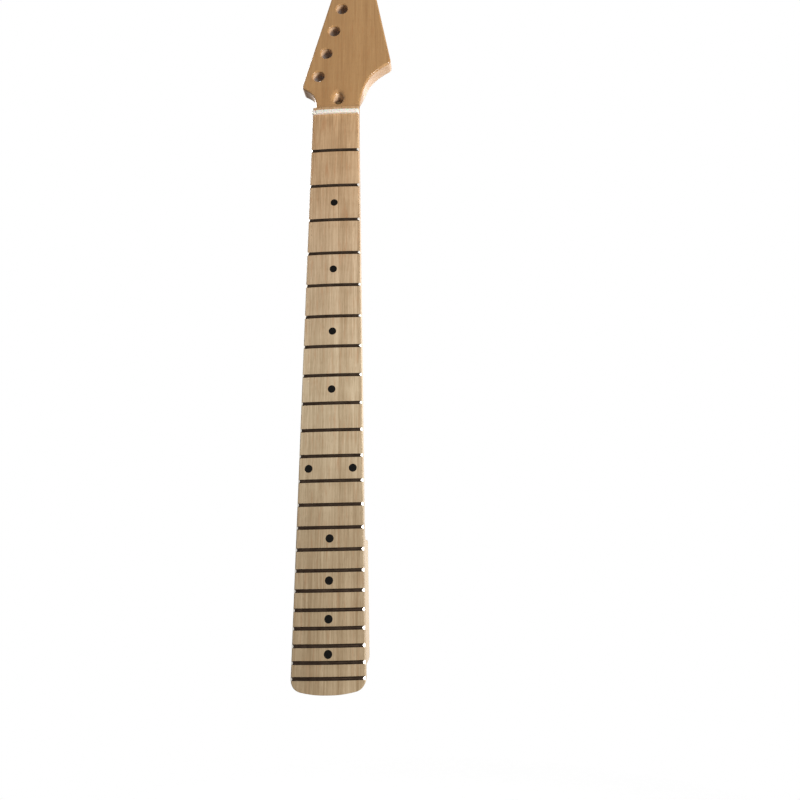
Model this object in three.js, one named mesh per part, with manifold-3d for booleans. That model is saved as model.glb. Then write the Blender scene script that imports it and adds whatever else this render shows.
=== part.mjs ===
// Bolt-on electric guitar neck, standing upright. +Z runs up to the headstock, -Y is the playing face and
// +X the treble side. The origin is the middle of the heel's flat back. Lengths are in millimetres.
import * as THREE from 'three';
import { mergeVertices } from 'three/addons/utils/BufferGeometryUtils.js';
import Module from 'manifold-3d';

const wasm = await Module();
wasm.setup();

// Strings and frets
const scaleLength = 648;
const fretCount = 22;
const stringCount = 6;
const halfStep = 2 ** (1 / 12);
const fretCrownWidth = 2.7;
const fretCrownHeight = 1.2;
const fretTangWidth = 0.6;
const fretTangDepth = 1.8;
const fretEndAngle = 32 * Math.PI / 180;

// Fretboard
const nutWidth = 41.2;
const heelWidth = 55.5;
const boardRadius = 305;
const boardThickness = 6.4;
const boardPastLastFret = 11.3;
const boardPastHeel = 11.5;
const boardCornerRadius = 9;
const boardEndBulge = 3;
const boardEndBulgeShare = 0.6;

// Neck blank
const blankThickness = 25.4;
const thicknessAtNut = 20.8;
const thicknessAtTwelfth = 22.4;
const backRoundPower = 2.1;
const heelPadLength = 95.5;
const heelArchRise = 7;
const heelFlareLength = 34;
const padCentreUp = 38;

// Headstock, measured up from the nut and out from the centre line
const headThickness = 13.5;
const headEdgeRound = 1.4;
const bassCornerOut = 34.2;
const bassCornerUp = 37;
const trebleCornerOut = 49.2;
const trebleCornerUp = 61.5;
const tipPastLastTuner = 18.34;
const tipRoundLength = 10;
const tipBassWall = 11.84;
const tipTrebleWall = 10.56;
const tipFullness = 14;
const cornerRound = 3;
const headJoinUp = 12;
const headBackFlatUp = 5;
const headBackFullUp = 37;
const headBackFlareLength = 25;
const headBackEdgeGap = 0.12;
const headBackFillShare = 0.85;
const trebleScoopShares = { innerShare: 0.34, riseShare: 0.8, lowShare: 0.58 };
const bassScoopShares = { innerShare: 0.3, riseShare: 0.85, lowShare: 0.62 };

// Tuner holes
const tunerHoleDiameter = 10.6;
const tunerPitch = 25.5;
const tunerRowLean = 16 * Math.PI / 180;
const firstTunerOut = 18.7;
const firstTunerUp = 49.1;

// Nut
const nutThickness = 4;
const nutAboveBoard = 1.9;
const nutSlotDepth = 3;
const nutLedge = 3.2;
const outerStringSpan = 35;
const stringSlotWidths = [1.25, 1.05, 0.85, 0.65, 0.5, 0.4];
const stringSlotDepth = 0.9;
const nutTopRound = 1.2;

// Dots
const dotFrets = [3, 5, 7, 9, 12, 15, 17, 19, 21];
const dotDiameter = 6.2;
const dotDepth = 1.6;
const octaveDotFromEdge = 8.06;
const sideDotDiameter = 2.2;
const sideDotDepth = 3;
const sideDotPairSpacing = 7;
const sideDotBelowEdge = 2.6;

// Truss rod and its channel
const rodDiameter = 4.8;
const rodSag = 0.7;
const stripeTop = 50;
const stripeCover = 2;
const stripeAboveHeelEnd = 40.5;
const anchorHeight = 10.4;
const anchorLength = 9;
const anchorWall = 0.3;
const anchorLiftShare = 0.25;
const adjustingNutWall = 0.95;
const adjustingNutLength = 9;
const adjustingSocketSize = 4;
const adjustingSocketDepth = 3.5;
const adjustingThreadDepth = 4.5;
const washerThickness = 1;
const washerSeatUp = 11.5;
const keyBoreDiameter = 9;
const keyBoreTilt = 40 * Math.PI / 180;
const keyBoreSunk = 3;

// Clearances
const seatGap = 0.1;
const slideGap = 0.15;
const rodGap = 0.3;
const rodBoreGap = 0.4;
const counterboreGap = 0.35;
const cutOverrun = 5;
const weldReach = 0.00001;

// Steps of the round forms
const boardSteps = 8;
const backSteps = 40;
const holeSteps = 24;
const smallHoleSteps = 12;
const flareSteps = 7;
const searchShare = 0.000001;

// Distances along the neck are measured from the nut down to the heel.
const fretAt = (n) => scaleLength * (1 - halfStep ** -n);
const boardEnd = fretAt(fretCount) + boardPastLastFret;
const heelEnd = boardEnd - boardPastHeel;
const stripeBottom = heelEnd - stripeAboveHeelEnd;
const rodDepth = thicknessAtNut - stripeCover - rodGap - rodDiameter / 2;
const rodBoreDiameter = rodDiameter + 2 * rodBoreGap;
const anchorWidth = rodDiameter + 2 * (slideGap + anchorWall);
const channelWidth = anchorWidth + 2 * slideGap;
const adjustingNutDiameter = rodDiameter + 2 * (slideGap + adjustingNutWall);
const counterboreDiameter = adjustingNutDiameter + 2 * counterboreGap;
const zAt = (fromNut) => heelEnd - padCentreUp - fromNut;
const yAt = (belowCrown) => belowCrown - blankThickness;
const halfWidthAt = (fromNut) => (nutWidth + (heelWidth - nutWidth) * fromNut / boardEnd) / 2;
const boardAxisY = yAt(boardRadius);
const headFaceDepth = blankThickness - headThickness;
const tunerPlace = (i) => ({
  out: -firstTunerOut + i * tunerPitch * Math.sin(tunerRowLean),
  up: firstTunerUp + i * tunerPitch * Math.cos(tunerRowLean),
});
const lastTuner = tunerPlace(stringCount - 1);
const headLength = lastTuner.up + tipPastLastTuner;
const crownDropAt = (out) => boardRadius - Math.sqrt(boardRadius ** 2 - out ** 2);
const middleOf = (n) => (fretAt(n - 1) + fretAt(n)) / 2;

// A closed solid from a geometry whose only attribute left is its position
function solid(geometry) {
  const bare = geometry.clone();
  for (const name of Object.keys(bare.attributes)) {
    if (name !== 'position') bare.deleteAttribute(name);
  }
  const merged = mergeVertices(bare, weldReach);
  return new wasm.Manifold(new wasm.Mesh({
    numProp: 3,
    vertProperties: new Float32Array(merged.attributes.position.array),
    triVerts: new Uint32Array(merged.index.array),
  }));
}

// The named mesh of a solid
function piece(name, body, colour, roughness, metalness = 0) {
  const mesh = body.getMesh();
  const geometry = new THREE.BufferGeometry();
  geometry.setAttribute('position', new THREE.BufferAttribute(mesh.vertProperties, 3));
  geometry.setIndex(new THREE.BufferAttribute(mesh.triVerts, 1));
  geometry.computeVertexNormals();
  const finish = new THREE.MeshStandardMaterial({ color: colour, roughness, metalness });
  const made = new THREE.Mesh(geometry, finish);
  made.name = name;
  return made;
}

// A plate whose outline lies in the plane of the playing face, from one depth below the crown to a deeper one
function plate(outline, top, bottom, edgeRound = 0) {
  const geometry = new THREE.ExtrudeGeometry(outline, {
    depth: bottom - top - 2 * edgeRound,
    bevelEnabled: edgeRound > 0,
    bevelThickness: edgeRound,
    bevelSize: edgeRound,
    bevelOffset: -edgeRound,
    bevelSegments: 2,
    curveSegments: 10,
  });
  geometry.rotateX(Math.PI / 2);
  geometry.translate(0, yAt(bottom - edgeRound), 0);
  return solid(geometry);
}

// A bar whose outline lies in the side view, each point a distance from the nut and a depth from the crown
function sideBar(outline, width) {
  const settings = { depth: width, bevelEnabled: false, curveSegments: 12 };
  const geometry = new THREE.ExtrudeGeometry(outline, settings);
  geometry.translate(0, 0, -width / 2);
  geometry.applyMatrix4(new THREE.Matrix4().set(
    0, 0, 1, 0,
    0, 1, 0, yAt(0),
    -1, 0, 0, zAt(0),
    0, 0, 0, 1,
  ));
  return solid(geometry);
}

function box(width, depth, height) {
  return new THREE.BoxGeometry(width, depth, height);
}

// A round bar along Z, with a flat of its many-sided section facing each way
function roundBar(diameter, length, steps = holeSteps) {
  return new THREE.CylinderGeometry(diameter / 2, diameter / 2, length, steps).rotateX(Math.PI / 2);
}

// The curve from a headstock corner down to the board's straight edge
function scoop(side, cornerOut, cornerUp, shares) {
  const edge = nutWidth / 2;
  const out = (share) => side * (edge + (cornerOut - edge) * share);
  const up = (share) => headJoinUp + (cornerUp - headJoinUp) * share;
  return new THREE.CubicBezierCurve(
    new THREE.Vector2(side * cornerOut, zAt(-cornerUp)),
    new THREE.Vector2(out(shares.innerShare), zAt(-up(shares.riseShare))),
    new THREE.Vector2(side * edge, zAt(-up(shares.lowShare))),
    new THREE.Vector2(side * edge, zAt(-headJoinUp)),
  );
}

const trebleScoop = scoop(1, trebleCornerOut, trebleCornerUp, trebleScoopShares);
const bassScoop = scoop(-1, bassCornerOut, bassCornerUp, bassScoopShares);

// How far out the blank's edge lies on one side, at any distance from the nut
function edgeOut(curve, fromNut) {
  if (fromNut > -headJoinUp) return halfWidthAt(Math.max(fromNut, 0));
  const wanted = zAt(fromNut);
  let [low, high] = [0, 1];
  while (high - low > searchShare) {
    const middle = (low + high) / 2;
    if (curve.getPoint(middle).y > wanted) low = middle;
    else high = middle;
  }
  return Math.abs(curve.getPoint(low).x);
}

// Outline of the headstock, down to where the shaft covers it
function headOutline() {
  const corner = (out, up) => new THREE.Vector2(out, zAt(-up));
  const towards = (from, to) => from.clone().add(to.clone().sub(from).setLength(cornerRound));
  const bass = corner(-bassCornerOut, bassCornerUp);
  const treble = corner(trebleCornerOut, trebleCornerUp);
  const tipBass = corner(lastTuner.out - tipBassWall, headLength - tipRoundLength);
  const tipTreble = corner(lastTuner.out + tipTrebleWall, headLength - tipRoundLength);
  const beyond = (from, tip) => tip.clone().add(tip.clone().sub(from).setLength(tipFullness));
  const steps = 12;
  const rounding = (curve) => cornerRound / curve.getLength();
  const along = (curve) => Array.from({ length: steps + 1 }, (_, i) => {
    const start = rounding(curve);
    return curve.getPointAt(start + (1 - start) * i / steps);
  });
  const bassCurve = along(bassScoop);
  const trebleCurve = along(trebleScoop);

  const shape = new THREE.Shape();
  shape.moveTo(-nutWidth / 2, zAt(0));
  for (const point of bassCurve.slice().reverse()) shape.lineTo(point.x, point.y);
  const bassLeave = towards(bass, tipBass);
  shape.quadraticCurveTo(bass.x, bass.y, bassLeave.x, bassLeave.y);
  shape.lineTo(tipBass.x, tipBass.y);
  const bassPull = beyond(bass, tipBass);
  const treblePull = beyond(treble, tipTreble);
  shape.bezierCurveTo(bassPull.x, bassPull.y, treblePull.x, treblePull.y, tipTreble.x, tipTreble.y);
  const trebleArrive = towards(treble, tipTreble);
  shape.lineTo(trebleArrive.x, trebleArrive.y);
  shape.quadraticCurveTo(treble.x, treble.y, trebleCurve[0].x, trebleCurve[0].y);
  for (const point of trebleCurve) shape.lineTo(point.x, point.y);
  shape.lineTo(nutWidth / 2, zAt(0));
  return shape;
}

// Outline of the tapered shaft, between two distances from the nut; the end may bulge between round corners
function taperOutline(start, end, cornerRadius = 0, bulge = 0) {
  const shape = new THREE.Shape();
  const width = halfWidthAt(Math.max(start, 0));
  shape.moveTo(-width, zAt(start));
  shape.lineTo(width, zAt(start));
  shape.lineTo(halfWidthAt(end), zAt(end - bulge - cornerRadius));
  if (cornerRadius > 0) {
    const out = halfWidthAt(end);
    const inner = out - cornerRadius;
    const swell = bulge * boardEndBulgeShare;
    shape.quadraticCurveTo(out, zAt(end - bulge), inner, zAt(end - swell));
    shape.quadraticCurveTo(0, zAt(end + swell), -inner, zAt(end - swell));
    shape.quadraticCurveTo(-out, zAt(end - bulge), -out, zAt(end - bulge - cornerRadius));
  } else {
    shape.lineTo(-halfWidthAt(end), zAt(end));
  }
  return shape;
}

// The round back as a row of sections. One deeper than the blank leaves the flat of the heel or headstock.
function backSections() {
  const flatTop = blankThickness - boardThickness;
  const depthFor = (flatShare) => flatTop / (1 - flatShare ** backRoundPower) ** (1 / backRoundPower);
  const smooth = (t) => t * t * (3 - 2 * t);
  const twelfth = fretAt(12);
  const shaftDepth = (fromNut) => thicknessAtNut - boardThickness
    + (thicknessAtTwelfth - thicknessAtNut) * fromNut / twelfth;
  const archTop = heelEnd - heelPadLength - heelArchRise;
  const flareStart = archTop - heelFlareLength;
  const beyond = headLength + boardEnd;
  const fullShare = 1 - headBackEdgeGap / (nutWidth / 2);
  const rows = [];
  const add = (fromNut, depth, extra = 0) => rows.push({
    fromNut,
    depth,
    bass: edgeOut(bassScoop, fromNut) + extra,
    treble: edgeOut(trebleScoop, fromNut) + extra,
  });
  const wide = (fromNut) => rows.push({ fromNut, depth: beyond, bass: beyond, treble: beyond });

  wide(-headLength - cutOverrun);
  wide(-headBackFullUp - seatGap);
  for (let i = 0; i <= flareSteps; i += 1) {
    const left = 1 - i / flareSteps;
    const fromNut = -headBackFlatUp - (headBackFullUp - headBackFlatUp) * left;
    add(fromNut, depthFor(fullShare * Math.sin(Math.PI / 2 * left ** headBackFillShare)));
  }
  for (let i = 1; i <= flareSteps; i += 1) {
    const fromNut = -headBackFlatUp + headBackFlareLength * i / flareSteps;
    const target = shaftDepth(Math.max(fromNut, 0));
    add(fromNut, THREE.MathUtils.lerp(flatTop, target, smooth(i / flareSteps)));
  }
  for (let i = 0; i < flareSteps; i += 1) {
    const fromNut = flareStart + heelFlareLength * i / flareSteps;
    add(fromNut, THREE.MathUtils.lerp(shaftDepth(fromNut), flatTop, (i / flareSteps) ** 2));
  }
  for (let i = 0; i <= flareSteps; i += 1) {
    const share = i / flareSteps;
    add(archTop + heelArchRise * (1 - Math.cos(Math.PI / 2 * share)), depthFor(fullShare * share));
  }
  wide(heelEnd - heelPadLength + seatGap);
  wide(boardEnd + cutOverrun);
  return rows;
}

function roundBack() {
  const rows = backSections();
  const geometry = new THREE.CylinderGeometry(1, 1, rows.length - 1, backSteps, rows.length - 1);
  const place = geometry.attributes.position;
  const power = 2 / backRoundPower;
  const corner = Math.SQRT2;
  for (let i = 0; i < place.count; i += 1) {
    const row = rows[Math.round(place.getY(i) + (rows.length - 1) / 2)];
    const across = place.getX(i);
    const back = place.getZ(i);
    const half = across > 0 ? row.treble : row.bass;
    let out = Math.sign(across) * half * Math.min(1, Math.abs(across) * corner);
    let below = boardThickness - cutOverrun * Math.min(1, Math.abs(back) * corner);
    if (back >= 0) {
      out = Math.sign(across) * half * Math.abs(across) ** power;
      below = boardThickness + row.depth * back ** power;
    }
    const centre = across === 0 && back === 0;
    place.setXYZ(i, centre ? 0 : out, yAt(centre ? boardThickness : below), zAt(row.fromNut));
  }
  return solid(geometry);
}

// What is cut away above the headstock's face, down the curved ramp behind the nut
function faceCut() {
  const rampTop = -nutThickness - nutLedge;
  const rampFoot = rampTop - headFaceDepth;
  const shape = new THREE.Shape();
  shape.moveTo(-headLength - cutOverrun, headFaceDepth);
  shape.lineTo(rampFoot, headFaceDepth);
  shape.absarc(rampFoot, 0, headFaceDepth, Math.PI / 2, 0, true);
  shape.lineTo(rampTop, -cutOverrun);
  shape.lineTo(-headLength - cutOverrun, -cutOverrun);
  return sideBar(shape, headLength);
}

// The rod dips towards the back between the channel's two ends.
function rodDepthAt(fromNut) {
  const share = THREE.MathUtils.clamp((fromNut - stripeTop) / (stripeBottom - stripeTop), 0, 1);
  return rodDepth + rodSag * Math.sin(Math.PI * share) ** 2;
}

// The channel's plan: a slot with round ends, wider than the given width by the clearance
function slotOutline(start, end, width) {
  const radius = width / 2;
  const shape = new THREE.Shape();
  shape.absarc(0, zAt(start + channelWidth / 2), radius, 0, Math.PI, false);
  shape.absarc(0, zAt(end - channelWidth / 2), radius, Math.PI, 2 * Math.PI, false);
  return shape;
}

// A bar over the whole channel, its top following the rod at a set distance
function alongRod(offset, bottom, width) {
  const steps = 12;
  const start = stripeTop - cutOverrun;
  const end = stripeBottom + cutOverrun;
  const shape = new THREE.Shape();
  shape.moveTo(start, bottom);
  shape.lineTo(end, bottom);
  for (let i = steps; i >= 0; i -= 1) {
    const fromNut = start + (end - start) * i / steps;
    shape.lineTo(fromNut, rodDepthAt(fromNut) + offset);
  }
  return sideBar(shape, width);
}

const anchorEnd = stripeBottom - channelWidth / 2;
const adjusterFootUp = washerSeatUp + washerThickness + seatGap;
const adjusterTopUp = adjusterFootUp + adjustingNutLength;
const rodTopClear = -rodDiameter / 2 - rodGap;
const rodBottomClear = rodDiameter / 2 + rodGap;

// The anchor's pocket is deeper than the channel on the board's side, so the anchor pulls on that shoulder.
function anchorPlace(width, height, length) {
  const geometry = box(width, height, length);
  const middle = rodDepthAt(anchorEnd - anchorLength / 2) - (anchorHeight - rodDiameter) * anchorLiftShare;
  geometry.translate(0, yAt(middle), zAt(anchorEnd - anchorLength / 2));
  return solid(geometry);
}

function anchorRoom(width) {
  return anchorPlace(width, anchorHeight + 2 * rodGap, anchorLength + 2 * rodGap);
}

function channelCut() {
  const slot = plate(slotOutline(stripeTop, stripeBottom, channelWidth + 2 * seatGap),
    boardThickness, blankThickness + cutOverrun);
  const pocket = anchorRoom(channelWidth + 2 * seatGap);
  return slot.intersect(alongRod(rodTopClear, blankThickness + cutOverrun, heelWidth)).add(pocket);
}

function rodBore() {
  const length = washerSeatUp + stripeTop + channelWidth;
  const bore = roundBar(rodBoreDiameter, length);
  bore.translate(0, yAt(rodDepth), zAt(-washerSeatUp + length / 2));
  const reach = adjusterTopUp - washerSeatUp + seatGap;
  const counterbore = roundBar(counterboreDiameter, reach);
  counterbore.translate(0, yAt(rodDepth), zAt(-washerSeatUp - reach / 2));
  return solid(bore).add(solid(counterbore));
}

// The key's way in: a leaning bore from the headstock's face down to the top of the adjusting nut
function keyBore() {
  const reach = (rodDepth - headFaceDepth + keyBoreDiameter + cutOverrun) / Math.sin(keyBoreTilt);
  const bore = roundBar(keyBoreDiameter, reach + keyBoreSunk);
  bore.translate(0, 0, (reach - keyBoreSunk) / 2);
  bore.rotateX(keyBoreTilt);
  bore.translate(0, yAt(rodDepth), zAt(-adjusterTopUp));
  return solid(bore);
}

function tunerHoles() {
  const length = headThickness + 2 * cutOverrun;
  const holes = [];
  for (let i = 0; i < stringCount; i += 1) {
    const { out, up } = tunerPlace(i);
    const hole = new THREE.CylinderGeometry(tunerHoleDiameter / 2, tunerHoleDiameter / 2, length, holeSteps);
    holes.push(solid(hole.translate(out, -headThickness / 2, zAt(-up))));
  }
  return holes;
}

const shaped = (() => {
  const head = plate(headOutline(), headFaceDepth, blankThickness, headEdgeRound);
  const rampFoot = nutThickness + nutLedge + headFaceDepth;
  const shaft = plate(taperOutline(-rampFoot, heelEnd, boardCornerRadius, boardEndBulge),
    boardThickness, blankThickness);
  return head.add(shaft).intersect(roundBack()).subtract(faceCut());
})();

function neck() {
  const cuts = [channelCut(), rodBore(), keyBore(), ...tunerHoles()];
  return piece('neck', cuts.reduce((body, cut) => body.subtract(cut), shaped), 0xd9b27c, 0.25);
}

function backStripe() {
  const slot = plate(slotOutline(stripeTop, stripeBottom, channelWidth), boardThickness, blankThickness);
  const overRod = alongRod(rodBottomClear, blankThickness + cutOverrun, heelWidth);
  const filler = slot.intersect(overRod).intersect(shaped).subtract(anchorRoom(heelWidth));
  return piece('back_stripe', filler, 0x17120f, 0.3);
}

// The arched top of the board, as a bar along the neck
function archedBar(start, end, top, bottom) {
  const half = heelWidth / 2 + cutOverrun;
  const radius = boardRadius - top;
  const shape = new THREE.Shape();
  shape.moveTo(-half, yAt(bottom));
  shape.lineTo(half, yAt(bottom));
  for (let i = 0; i <= boardSteps; i += 1) {
    const out = half - 2 * half * i / boardSteps;
    shape.lineTo(out, boardAxisY - Math.sqrt(radius ** 2 - out ** 2));
  }
  const geometry = new THREE.ExtrudeGeometry(shape, { depth: end - start, bevelEnabled: false });
  geometry.translate(0, 0, zAt(end));
  return solid(geometry);
}

// A bar square to the board's face at a dot's place, reaching from above the face to a depth
function dotBar({ fromNut, out }, diameter, depth) {
  const geometry = new THREE.CylinderGeometry(diameter / 2, diameter / 2, depth + cutOverrun, holeSteps);
  const tilt = Math.asin(out / boardRadius);
  geometry.translate(0, -boardRadius + (depth - cutOverrun) / 2, 0);
  geometry.rotateZ(tilt);
  geometry.translate(0, boardAxisY, zAt(fromNut));
  return solid(geometry);
}

const facePlaces = dotFrets.flatMap((fret) => {
  const label = String(fret).padStart(2, '0');
  const fromNut = middleOf(fret);
  if (fret !== 12) return [{ name: `dot_${label}`, fromNut, out: 0 }];
  const out = halfWidthAt(fromNut) - octaveDotFromEdge;
  return [
    { name: `dot_${label}_bass`, fromNut, out: -out },
    { name: `dot_${label}_treble`, fromNut, out },
  ];
});

const sidePlaces = dotFrets.flatMap((fret) => {
  const label = String(fret).padStart(2, '0');
  const fromNut = middleOf(fret);
  if (fret !== 12) return [{ name: `side_dot_${label}`, fromNut }];
  return [
    { name: `side_dot_${label}_upper`, fromNut: fromNut - sideDotPairSpacing / 2 },
    { name: `side_dot_${label}_lower`, fromNut: fromNut + sideDotPairSpacing / 2 },
  ];
});

// A rod let into the bass edge
function sideDotBar(fromNut, diameter, depth, proud) {
  const edge = halfWidthAt(fromNut);
  const geometry = new THREE.CylinderGeometry(diameter / 2, diameter / 2, depth + proud, smallHoleSteps);
  geometry.rotateZ(Math.PI / 2);
  geometry.translate(-edge + (depth - proud) / 2, yAt(crownDropAt(edge) + sideDotBelowEdge), zAt(fromNut));
  return solid(geometry);
}

function fretSlot(n) {
  const depth = fretTangDepth + seatGap + crownDropAt(halfWidthAt(fretAt(n)));
  const geometry = box(heelWidth + 2 * cutOverrun, depth + cutOverrun, fretTangWidth + 2 * slideGap);
  geometry.translate(0, yAt((depth - cutOverrun) / 2), zAt(fretAt(n)));
  return solid(geometry);
}

function nutSlot() {
  const depth = nutSlotDepth + cutOverrun;
  const geometry = box(heelWidth + 2 * cutOverrun, depth, nutThickness + 2 * slideGap);
  geometry.translate(0, yAt(nutSlotDepth - depth / 2), zAt(-nutThickness / 2));
  return solid(geometry);
}

function fretboard() {
  const rampTop = -nutThickness - nutLedge;
  const outline = plate(taperOutline(rampTop - headFaceDepth, boardEnd, boardCornerRadius, boardEndBulge),
    -cutOverrun, boardThickness);
  let body = outline.intersect(archedBar(rampTop - headFaceDepth, boardEnd + cutOverrun, 0, boardThickness));
  body = body.subtract(faceCut()).subtract(nutSlot());
  for (let n = 1; n <= fretCount; n += 1) body = body.subtract(fretSlot(n));
  for (const dot of facePlaces) {
    const seat = dotBar(dot, dotDiameter + 2 * seatGap, dotDepth + seatGap);
    body = body.subtract(seat);
  }
  for (const dot of sidePlaces) {
    const seat = sideDotBar(dot.fromNut, sideDotDiameter + 2 * seatGap, sideDotDepth + seatGap, cutOverrun);
    body = body.subtract(seat);
  }
  return piece('fretboard', body, 0xd8bb8c, 0.3);
}

function faceDots() {
  const top = archedBar(-nutThickness, boardEnd, 0, boardThickness);
  return facePlaces.map((dot) => piece(dot.name,
    dotBar(dot, dotDiameter, dotDepth).intersect(top), 0x0c0b0b, 0.3));
}

function sideDots() {
  return sidePlaces.map((dot) => piece(dot.name,
    sideDotBar(dot.fromNut, sideDotDiameter, sideDotDepth, 0), 0x0c0b0b, 0.3));
}

// Section of the fret wire: a low round crown over its tang. The outline's second axis points into the board.
function fretSection() {
  const half = fretCrownWidth / 2;
  const tang = fretTangWidth / 2;
  const steps = 5;
  const shape = new THREE.Shape();
  shape.moveTo(tang, fretTangDepth);
  shape.lineTo(-tang, fretTangDepth);
  shape.lineTo(-tang, -seatGap);
  for (let i = 0; i <= steps; i += 1) {
    const angle = Math.PI * i / steps;
    shape.lineTo(-half * Math.cos(angle), -seatGap - (fretCrownHeight - seatGap) * Math.sin(angle));
  }
  shape.lineTo(tang, -seatGap);
  return shape;
}

function fret(n) {
  const fromNut = fretAt(n);
  const half = halfWidthAt(fromNut);
  const turn = Math.asin(half / boardRadius);
  const edgeY = boardAxisY - boardRadius * Math.cos(turn);
  const edge = (side) => new THREE.Vector3(side * half, edgeY, zAt(fromNut));
  const path = new THREE.QuadraticBezierCurve3(
    edge(-1),
    new THREE.Vector3(0, boardAxisY - boardRadius / Math.cos(turn), zAt(fromNut)),
    edge(1),
  );
  const geometry = new THREE.ExtrudeGeometry(fretSection(), { steps: boardSteps, extrudePath: path });
  let body = solid(geometry);
  const reach = fretCrownHeight + fretTangDepth + cutOverrun;
  for (const side of [-1, 1]) {
    const trim = box(reach, reach * 2, fretCrownWidth * 2);
    trim.translate(side * reach / 2, 0, 0);
    trim.rotateZ(side * fretEndAngle);
    trim.translate(side * half, yAt(crownDropAt(half)), zAt(fromNut));
    body = body.subtract(solid(trim));
  }
  return piece(`fret_${String(n).padStart(2, '0')}`, body, 0x8c8880, 0.3, 1);
}

function frets() {
  return Array.from({ length: fretCount }, (_, i) => fret(i + 1));
}

// The nut: an arched strip, its top edges rounded and a slot cut for each string
function nut() {
  const half = nutWidth / 2;
  const block = box(nutWidth, boardRadius, nutThickness).translate(0, yAt(0), zAt(-nutThickness / 2));
  let body = solid(block).intersect(archedBar(-nutThickness, 0, -nutAboveBoard, nutSlotDepth - seatGap));
  const shape = new THREE.Shape();
  const top = -nutAboveBoard;
  const deep = nutSlotDepth + cutOverrun;
  shape.moveTo(-nutThickness, deep);
  shape.lineTo(-nutThickness, top + nutTopRound + crownDropAt(half));
  shape.quadraticCurveTo(-nutThickness, top, -nutThickness + nutTopRound, top);
  shape.lineTo(0, top);
  shape.lineTo(0, deep);
  body = body.intersect(sideBar(shape, nutWidth));
  const pitch = outerStringSpan / (stringCount - 1);
  for (let i = 0; i < stringCount; i += 1) {
    const out = -outerStringSpan / 2 + i * pitch;
    const width = stringSlotWidths[i % stringSlotWidths.length];
    const slot = box(width, 2 * stringSlotDepth, nutThickness * 2);
    slot.translate(out, yAt(crownDropAt(out) - nutAboveBoard), zAt(-nutThickness / 2));
    body = body.subtract(solid(slot));
  }
  return piece('nut', body, 0xe9e2cf, 0.35);
}

// The rod runs straight through its bore, then dips along the channel to its anchor.
function trussRod() {
  const top = -washerSeatUp - washerThickness - adjustingThreadDepth + rodGap;
  const end = anchorEnd - rodGap;
  const steps = 18;
  const points = [new THREE.Vector3(0, yAt(rodDepth), zAt(top))];
  for (let i = 0; i <= steps; i += 1) {
    const fromNut = stripeTop + (end - stripeTop) * i / steps;
    points.push(new THREE.Vector3(0, yAt(rodDepthAt(fromNut)), zAt(fromNut)));
  }
  const path = new THREE.CurvePath();
  for (let i = 1; i < points.length; i += 1) path.add(new THREE.LineCurve3(points[i - 1], points[i]));
  const section = new THREE.Shape();
  section.absarc(0, 0, rodDiameter / 2, 0, 2 * Math.PI);
  const geometry = new THREE.ExtrudeGeometry(section, { steps: 24, curveSegments: 5, extrudePath: path });
  return piece('truss_rod', solid(geometry), 0x8d9094, 0.35, 1);
}

function trussRodAnchor() {
  const block = anchorPlace(anchorWidth, anchorHeight, anchorLength);
  const hole = roundBar(rodDiameter + 2 * slideGap, anchorLength * 2, smallHoleSteps);
  hole.translate(0, yAt(rodDepthAt(anchorEnd - anchorLength / 2)), zAt(anchorEnd - anchorLength / 2));
  return piece('truss_rod_anchor', block.subtract(solid(hole)), 0x74777b, 0.4, 1);
}

function trussRodWasher() {
  const ring = roundBar(adjustingNutDiameter, washerThickness - seatGap);
  ring.translate(0, yAt(rodDepth), zAt(-washerSeatUp - (washerThickness + seatGap) / 2));
  const hole = roundBar(rodDiameter + 2 * slideGap, washerThickness * 2);
  hole.translate(0, yAt(rodDepth), zAt(-washerSeatUp - washerThickness / 2));
  return piece('truss_rod_washer', solid(ring).subtract(solid(hole)), 0xa9a7a0, 0.35, 1);
}

function adjustingNut() {
  const barrel = roundBar(adjustingNutDiameter, adjustingNutLength);
  barrel.translate(0, yAt(rodDepth), zAt(-adjusterFootUp - adjustingNutLength / 2));
  const thread = roundBar(rodDiameter + 2 * slideGap, adjustingThreadDepth * 2);
  thread.translate(0, yAt(rodDepth), zAt(-adjusterFootUp));
  const socket = roundBar(adjustingSocketSize / Math.cos(Math.PI / 6), adjustingSocketDepth * 2, 6);
  socket.translate(0, yAt(rodDepth), zAt(-adjusterTopUp));
  const bored = solid(barrel).subtract(solid(thread)).subtract(solid(socket));
  return piece('adjusting_nut', bored, 0xb9a063, 0.3, 1);
}

const guitarNeck = new THREE.Group();
guitarNeck.name = 'guitar_neck';
guitarNeck.add(neck(), fretboard(), nut(), backStripe(), ...frets(), ...faceDots(), ...sideDots());
guitarNeck.add(trussRod(), trussRodAnchor(), trussRodWasher(), adjustingNut());

export default guitarNeck;
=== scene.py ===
import math

import bpy
from mathutils.geometry import interpolate_bezier
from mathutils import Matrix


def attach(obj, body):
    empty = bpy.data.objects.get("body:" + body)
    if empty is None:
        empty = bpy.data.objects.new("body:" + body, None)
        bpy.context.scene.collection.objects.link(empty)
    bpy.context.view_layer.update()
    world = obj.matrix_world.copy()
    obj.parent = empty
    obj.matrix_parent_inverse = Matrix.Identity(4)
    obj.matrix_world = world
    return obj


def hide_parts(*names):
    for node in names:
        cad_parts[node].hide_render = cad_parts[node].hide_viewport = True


# The frame holds the neck upright: +Z runs up to the headstock, -Y is the playing face, +X the treble side.
# The middle of the heel's flat back is the origin. Sizes are in millimetres, made metres where they are used.
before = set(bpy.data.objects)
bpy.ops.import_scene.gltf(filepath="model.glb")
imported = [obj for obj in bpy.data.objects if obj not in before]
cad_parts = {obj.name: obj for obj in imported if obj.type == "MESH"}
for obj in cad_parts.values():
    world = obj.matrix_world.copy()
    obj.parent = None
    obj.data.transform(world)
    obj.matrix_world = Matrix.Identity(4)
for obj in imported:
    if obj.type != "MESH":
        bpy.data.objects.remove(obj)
bpy.ops.object.select_all(action="DESELECT")
mm = 0.001
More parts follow.
